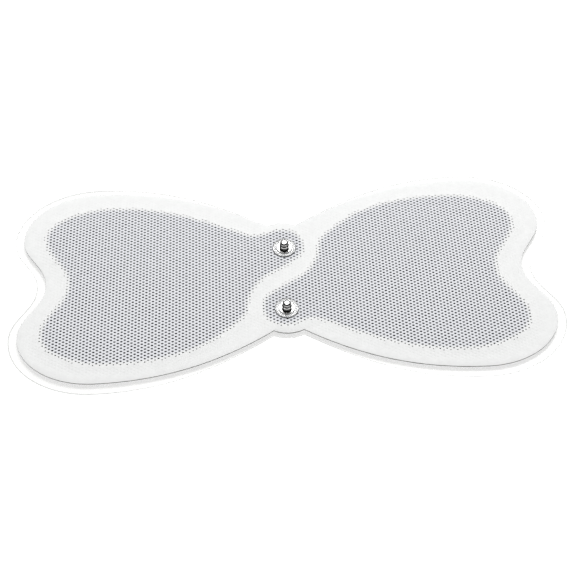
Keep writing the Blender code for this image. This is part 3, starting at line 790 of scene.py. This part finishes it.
# Studs, rivets and patches: each stud is drawn from thin brass sheet, nickel plated and polished, and its
# bulge clips into the lead's socket. A tubular rivet holds it from below, and a patch of white tape keeps
# the rivet's head off the gel.
STUD_TOP_RADIUS = 1.78 * MM
STUD_TOP_ROUND = 1.05 * MM
STUD_SHOULDER = (1.72 * MM, 1.9 * MM)  # radius and level where the cone over the bulge starts
STUD_BULGE_RADIUS = 2.08 * MM
STUD_BULGE_LEVEL = 1.4 * MM
STUD_BULGE_ROUND = 0.2 * MM
STUD_NECK_RADIUS = 1.6 * MM
STUD_NECK_LEVEL = 0.9 * MM
STUD_FOOT_ROUND = 0.15 * MM
STUD_FLANGE_THICKNESS = 0.25 * MM
STUD_FLAT_EDGE = 0.04 * MM  # keeps the flange's top flat right up to its round edges
STUD_WALL = 0.3 * MM
STUD_BORE_END = 3 * STUD_WALL  # where the bore starts to close, below the top
NICKEL_COLOUR = (0.33, 0.327, 0.322)
NICKEL_DULL_COLOUR = (0.28, 0.277, 0.273)
NICKEL_EDGE_TINT = (0.15, 0.15, 0.15)  # polished nickel turns darker where it is seen edge on
NICKEL_SCRATCH = 0.08 * MM
NICKEL_STAIN = 0.9 * MM
TAPE_COLOUR = (0.80, 0.80, 0.78)
TAPE_SHADE_COLOUR = (0.72, 0.72, 0.69)
TAPE_GRAIN = 0.2 * MM

nickel_finish, tree, shader = new_finish("polished_nickel")
scratches = grain(tree, NICKEL_SCRATCH, 6.0)
stains = grain(tree, NICKEL_STAIN)
tint = colour_between(tree, ramp(tree, stains, 0.4, 0.7, 0.0, 1.0), NICKEL_COLOUR, NICKEL_DULL_COLOUR)
feed(tree, shader, base_color=tint, metallic=1.0, specular_tint=NICKEL_EDGE_TINT)
feed(tree, shader, roughness=by_grain(tree, scratches, 0.03, 0.07))
bump(tree, shader, scratches, 0.002 * MM, 0.2)

for wing, place in zip(WINGS, stud_places):
    low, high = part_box("stud_" + wing)
    flange = (high.x - low.x) / 2
    flange_round = STUD_FLANGE_THICKNESS / 2
    shoulder = low.z + STUD_SHOULDER[1]
    bulge = low.z + STUD_BULGE_LEVEL
    bore = STUD_NECK_RADIUS - STUD_WALL
    head = (STUD_TOP_RADIUS - STUD_TOP_ROUND, high.z - STUD_TOP_ROUND)
    flange_top = low.z + STUD_FLANGE_THICKNESS
    foot_centre = (STUD_NECK_RADIUS + STUD_FOOT_ROUND, flange_top + STUD_FOOT_ROUND)
    rim_centre = (flange - flange_round, low.z + flange_round)
    profile = np.concatenate(
        (
            [(0.0, high.z)],
            arc_points(head, STUD_TOP_ROUND, 88, -4, 12),
            [(STUD_SHOULDER[0], shoulder), (STUD_SHOULDER[0] + STUD_FLAT_EDGE, shoulder - STUD_FLAT_EDGE)],
            arc_points((STUD_BULGE_RADIUS - STUD_BULGE_ROUND, bulge), STUD_BULGE_ROUND, 35, -60, 8),
            [(STUD_NECK_RADIUS, low.z + STUD_NECK_LEVEL)],
            arc_points(foot_centre, STUD_FOOT_ROUND, 180, 270, 7),
            [(foot_centre[0] + STUD_FLAT_EDGE, flange_top), (rim_centre[0] - STUD_FLAT_EDGE, flange_top)],
            arc_points(rim_centre, flange_round, 90, -90, 7),
            [(bore, low.z), (bore, high.z - STUD_BORE_END), (bore - STUD_WALL, high.z - STUD_WALL)],
            [(0.0, high.z - STUD_WALL)],
        )
    )
    stud = bpy.data.objects.new("snap_stud_" + wing, turned("snap_stud_" + wing, profile, place))
    dress(stud, "nickel", nickel_finish, "stud_" + wing)
    cad_nodes["rivet_" + wing].material_slots[0].material = nickel_finish

tape_finish, tree, shader = new_finish("white_tape")
weave = grain(tree, TAPE_GRAIN, 3.0)
tint = colour_between(tree, ramp(tree, weave, 0.35, 0.65, 0.0, 1.0), TAPE_COLOUR, TAPE_SHADE_COLOUR)
feed(tree, shader, base_color=tint, roughness=by_grain(tree, weave, 0.55, 0.75))
bump(tree, shader, weave, 0.02 * MM, 0.4)
for wing in WINGS:
    cad_nodes["rivet_patch_" + wing].material_slots[0].material = tape_finish


# Table, light and camera: a white table under a soft overhead light that stands a little behind the pad. The
# studio is bright overhead and behind and dark in front, apart from a lit panel low down there. The camera
# looks down on the pad from in front.
TABLE_SIDE = 4.0
TABLE_MOTTLE = 0.05
TABLE_COLOUR = (0.30, 0.30, 0.30)
TABLE_SHADE_COLOUR = (0.29, 0.29, 0.29)
TABLE_GLOW = 0.93  # what is added to the table's own light where the eye or a reflection sees it
STUDIO_BRIGHT = 1.0
STUDIO_DARK = 0.05
STUDIO_LEAN = (0.7, 0.9)  # how much the sides and the back count against the height
STUDIO_EDGE = (0.6, 1.05)  # where dark turns to bright, by that measure
SOFT_BOX = 2.2  # a lit panel low in front, which the studs' sides show as white bands
SOFT_BOX_FACE = (-0.45, -0.30)  # its edges, along Y and in height, as parts of a direction of length 1
SOFT_BOX_FOOT = (0.10, 0.16)
SOFT_BOX_TOP = (0.40, 0.46)
LAMP_PLACE = (0.08, 0.67, 0.90)
LAMP_SIDE = 0.5
LAMP_POWER = 9.4
CAMERA_PLACE = (-18.17 * MM, -347.4 * MM, 441.9 * MM)
CAMERA_ELEVATION = math.radians(52.16)
CAMERA_TURN = math.radians(-3.17)
PHOTO_SIDE = 576  # pixels
FOCAL_PIXELS = 1370.5
SENSOR = 36.0


def seen_by_eye(tree):
    """1 for a camera ray and for what a reflection or a clear piece shows, 0 for the light on the pad."""
    path = add_node(tree, "LightPath")
    seen = math_node(tree, "MAXIMUM", path.outputs["Is Camera Ray"], path.outputs["Is Glossy Ray"])
    return math_node(tree, "MAXIMUM", seen, path.outputs["Is Transmission Ray"])


table_finish, tree, shader = new_finish("white_table")
mottle = grain(tree, TABLE_MOTTLE)
tint = colour_between(tree, by_grain(tree, mottle, 0.0, 1.0), TABLE_COLOUR, TABLE_SHADE_COLOUR)
glow = math_node(tree, "MULTIPLY", seen_by_eye(tree), TABLE_GLOW)
feed(tree, shader, base_color=tint, roughness=0.9, specular_ior_level=0.0)
feed(tree, shader, emission_color=(1.0, 1.0, 1.0), emission_strength=glow)
half = TABLE_SIDE / 2
corners = np.array([(-half, -half, 0.0), (half, -half, 0.0), (half, half, 0.0), (-half, half, 0.0)])
table = bpy.data.objects.new("table", mesh_of("table", corners, [[0, 1, 2, 3]]))
table.data.materials.append(table_finish)
bpy.context.scene.collection.objects.link(table)

world = bpy.data.worlds.new("studio")
bpy.context.scene.world = world
world.use_nodes = True
tree = world.node_tree
way = add_node(tree, "TexCoord").outputs["Generated"]
parts = add_node(tree, "SeparateXYZ", vector=way).outputs
towards_back = math_node(tree, "MULTIPLY", parts["Y"], STUDIO_LEAN[1])
height = math_node(tree, "ADD", parts["Z"], towards_back)
aside = math_node(tree, "MULTIPLY", math_node(tree, "ABSOLUTE", parts["X"]), STUDIO_LEAN[0])
lit = math_node(tree, "SUBTRACT", height, aside)
studio = ramp(tree, lit, *STUDIO_EDGE, STUDIO_DARK, STUDIO_BRIGHT)
soft_box = ramp(tree, parts["Y"], *SOFT_BOX_FACE, SOFT_BOX, 0.0)
soft_box = math_node(tree, "MULTIPLY", soft_box, ramp(tree, parts["Z"], *SOFT_BOX_FOOT, 0.0, 1.0))
soft_box = math_node(tree, "MULTIPLY", soft_box, ramp(tree, parts["Z"], *SOFT_BOX_TOP, 1.0, 0.0))
studio = math_node(tree, "MAXIMUM", studio, soft_box)
camera_ray = add_node(tree, "LightPath").outputs["Is Camera Ray"]
light = math_node(tree, "MAXIMUM", studio, camera_ray)
feed(tree, tree.nodes["Background"], color=(1.0, 1.0, 1.0), strength=light)

lamp_data = bpy.data.lights.new("overhead_light", "AREA")
lamp_data.size = LAMP_SIDE
lamp_data.energy = LAMP_POWER
lamp = bpy.data.objects.new("overhead_light", lamp_data)
lamp.location = LAMP_PLACE
aim = Matrix.Identity(3)
aim.col[2] = lamp.location.normalized()
aim.col[0] = aim.col[2].cross((0.0, 1.0, 0.0)).normalized()
aim.col[1] = aim.col[2].cross(aim.col[0])
lamp.rotation_euler = aim.to_euler()
bpy.context.scene.collection.objects.link(lamp)

camera_data = bpy.data.cameras.new("camera")
camera_data.sensor_width = SENSOR
camera_data.lens = SENSOR * FOCAL_PIXELS / PHOTO_SIDE
camera_data.clip_start = 0.01
camera = bpy.data.objects.new("camera", camera_data)
level = math.cos(CAMERA_ELEVATION)
backwards = (level * math.sin(CAMERA_TURN), -level * math.cos(CAMERA_TURN), math.sin(CAMERA_ELEVATION))
pose = Matrix.Identity(3)
pose.col[0] = (math.cos(CAMERA_TURN), math.sin(CAMERA_TURN), 0.0)
pose.col[2] = backwards
pose.col[1] = pose.col[2].cross(pose.col[0])
camera.rotation_euler = pose.to_euler()
camera.location = CAMERA_PLACE
bpy.context.scene.collection.objects.link(camera)
bpy.context.scene.camera = camera
bpy.context.scene.view_settings.view_transform = "Standard"
